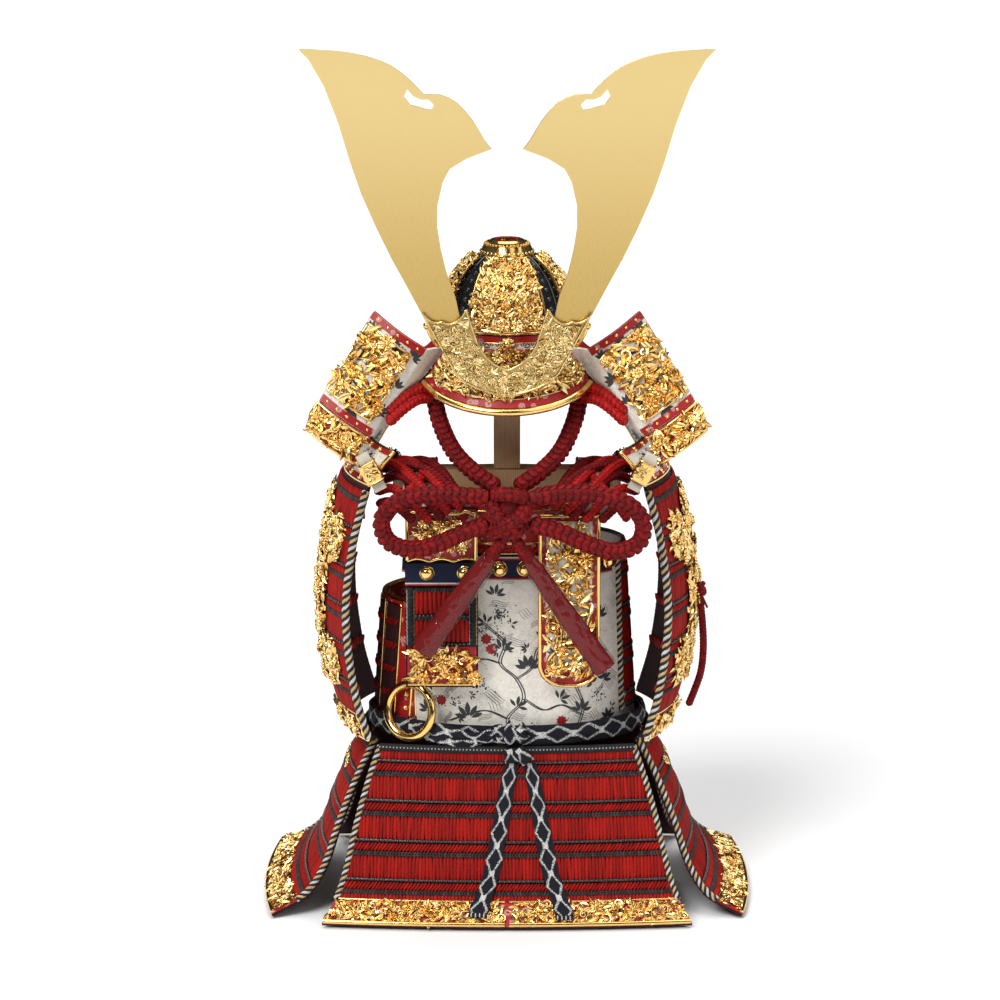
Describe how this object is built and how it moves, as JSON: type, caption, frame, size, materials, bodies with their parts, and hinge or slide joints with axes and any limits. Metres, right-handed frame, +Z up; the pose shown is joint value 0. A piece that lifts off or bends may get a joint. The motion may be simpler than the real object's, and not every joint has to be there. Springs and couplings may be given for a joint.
{
  "type": "miniature samurai armour",
  "caption": "Quarter-scale display suit of laced armour on a wooden stand, with a horned helmet that lifts off and hanging panels that swing.",
  "frame": {"origin": "centre of the bounding box at the level of the table, cords left out", "axes": "+Z up, the front of the suit faces -Y, +X to the viewer's right when facing it"},
  "size_m": [0.2408, 0.149, 0.4251],
  "materials": {
    "wood": "light wood, clear oiled",
    "gold": "gold-plated relief, bright",
    "horn_brass": "brushed pale gold sheet",
    "black_lacquer": "black lacquer over metal",
    "red_lacing": "vivid red silk lacing over lacquered plates",
    "crimson_cord": "deep crimson braided silk cord",
    "printed_leather": "off-white leather with a black foliage print",
    "maroon_leather": "dark red leather with a pale print",
    "navy_cloth": "navy woven cloth",
    "patterned_braid": "black and white woven flat braid"
  },
  "bodies": {
    "stand": {"stand_base": "wood", "stand_post": "wood", "neck_post": "wood", "shoulder_bar": "wood", "head_block": "wood", "cuirass_shell": "printed_leather", "waidate": "maroon_leather", "breast_plate": "maroon_leather", "back_plate": "maroon_leather", "chest_band": "navy_cloth", "strap_left": "printed_leather", "strap_right": "printed_leather", "waist_sash": "patterned_braid", "sash_knot": "patterned_braid", "back_bow": "crimson_cord"},
    "helmet": {"helmet_bowl": "black_lacquer", "helmet_lining": "maroon_leather", "crown_ring": "gold", "bowl_plate_front": "gold", "bowl_plate_left": "gold", "bowl_plate_right": "gold", "brow_band": "maroon_leather", "visor": "gold", "visor_rim": "gold", "crest_holder": "gold", "neck_guard_upper": "red_lacing", "neck_guard_middle": "red_lacing", "neck_guard_lower": "red_lacing", "fukikaeshi_left": "printed_leather", "fukikaeshi_right": "printed_leather", "fukikaeshi_band_left": "gold", "fukikaeshi_band_right": "gold", "chin_strand_left": "crimson_cord", "chin_strand_right": "crimson_cord", "chin_loop_left": "crimson_cord", "chin_loop_right": "crimson_cord", "chin_knot": "crimson_cord", "chin_tassel_left": "crimson_cord", "chin_tassel_right": "crimson_cord"},
    "horn_left": {"kuwagata_left": "horn_brass"},
    "horn_right": {"kuwagata_right": "horn_brass"},
    "guard_left": {"sode_left": "red_lacing", "sode_cap_left": "printed_leather", "sode_clasp_left": "gold", "shoulder_lacing_left": "red_lacing"},
    "guard_right": {"sode_right": "red_lacing", "sode_cap_right": "printed_leather", "sode_clasp_right": "gold", "shoulder_lacing_right": "red_lacing"},
    "skirt_front": {"tasset_front": "red_lacing", "sash_tail_left": "patterned_braid", "sash_tail_right": "patterned_braid"},
    "skirt_back": {"tasset_back": "red_lacing"},
    "skirt_left": {"tasset_left": "red_lacing"},
    "skirt_right": {"tasset_right": "red_lacing"},
    "sendan": {"sendan_plate": "red_lacing"},
    "kyubi": {"kyubi_plate": "maroon_leather"},
    "ring": {"waist_ring": "gold"}
  },
  "joints": [
    {"name": "helmet_lift", "type": "slide", "parent": "stand", "child": "helmet", "axis": [0, 0, 1], "range_m": [0, 0.12]},
    {"name": "horn_left_pull", "type": "slide", "parent": "helmet", "child": "horn_left", "axis": [-0.3401, 0, 0.9404], "range_m": [0, 0.03]},
    {"name": "horn_right_pull", "type": "slide", "parent": "helmet", "child": "horn_right", "axis": [0.3401, 0, 0.9404], "range_m": [0, 0.03]},
    {"name": "sode_left_swing", "type": "hinge", "parent": "stand", "child": "guard_left", "pos_m": [-0.07, 0, 0.214], "axis": [0, 1, 0], "range_deg": [0, 20]},
    {"name": "sode_right_swing", "type": "hinge", "parent": "stand", "child": "guard_right", "pos_m": [0.07, 0, 0.214], "axis": [0, -1, 0], "range_deg": [0, 20]},
    {"name": "tasset_front_swing", "type": "hinge", "parent": "stand", "child": "skirt_front", "pos_m": [0, -0.041, 0.0831], "axis": [-1, 0, 0], "range_deg": [0, 25]},
    {"name": "tasset_back_swing", "type": "hinge", "parent": "stand", "child": "skirt_back", "pos_m": [0, 0.041, 0.0831], "axis": [1, 0, 0], "range_deg": [0, 25]},
    {"name": "tasset_left_swing", "type": "hinge", "parent": "stand", "child": "skirt_left", "pos_m": [-0.068, 0, 0.0831], "axis": [0, 1, 0], "range_deg": [0, 20]},
    {"name": "tasset_right_swing", "type": "hinge", "parent": "stand", "child": "skirt_right", "pos_m": [0.068, 0, 0.0831], "axis": [0, -1, 0], "range_deg": [0, 20]},
    {"name": "sendan_swing", "type": "hinge", "parent": "stand", "child": "sendan", "pos_m": [-0.0315, -0.0446, 0.205], "axis": [0, 1, 0], "range_deg": [-4, 4]},
    {"name": "kyubi_swing", "type": "hinge", "parent": "stand", "child": "kyubi", "pos_m": [0.03, -0.0446, 0.202], "axis": [0, 1, 0], "range_deg": [-4, 4]},
    {"name": "waist_ring_swing", "type": "hinge", "parent": "stand", "child": "ring", "pos_m": [-0.04898, -0.03497, 0.0864], "axis": [0.8387, -0.5446, 0], "range_deg": [0, 60]}
  ]
}
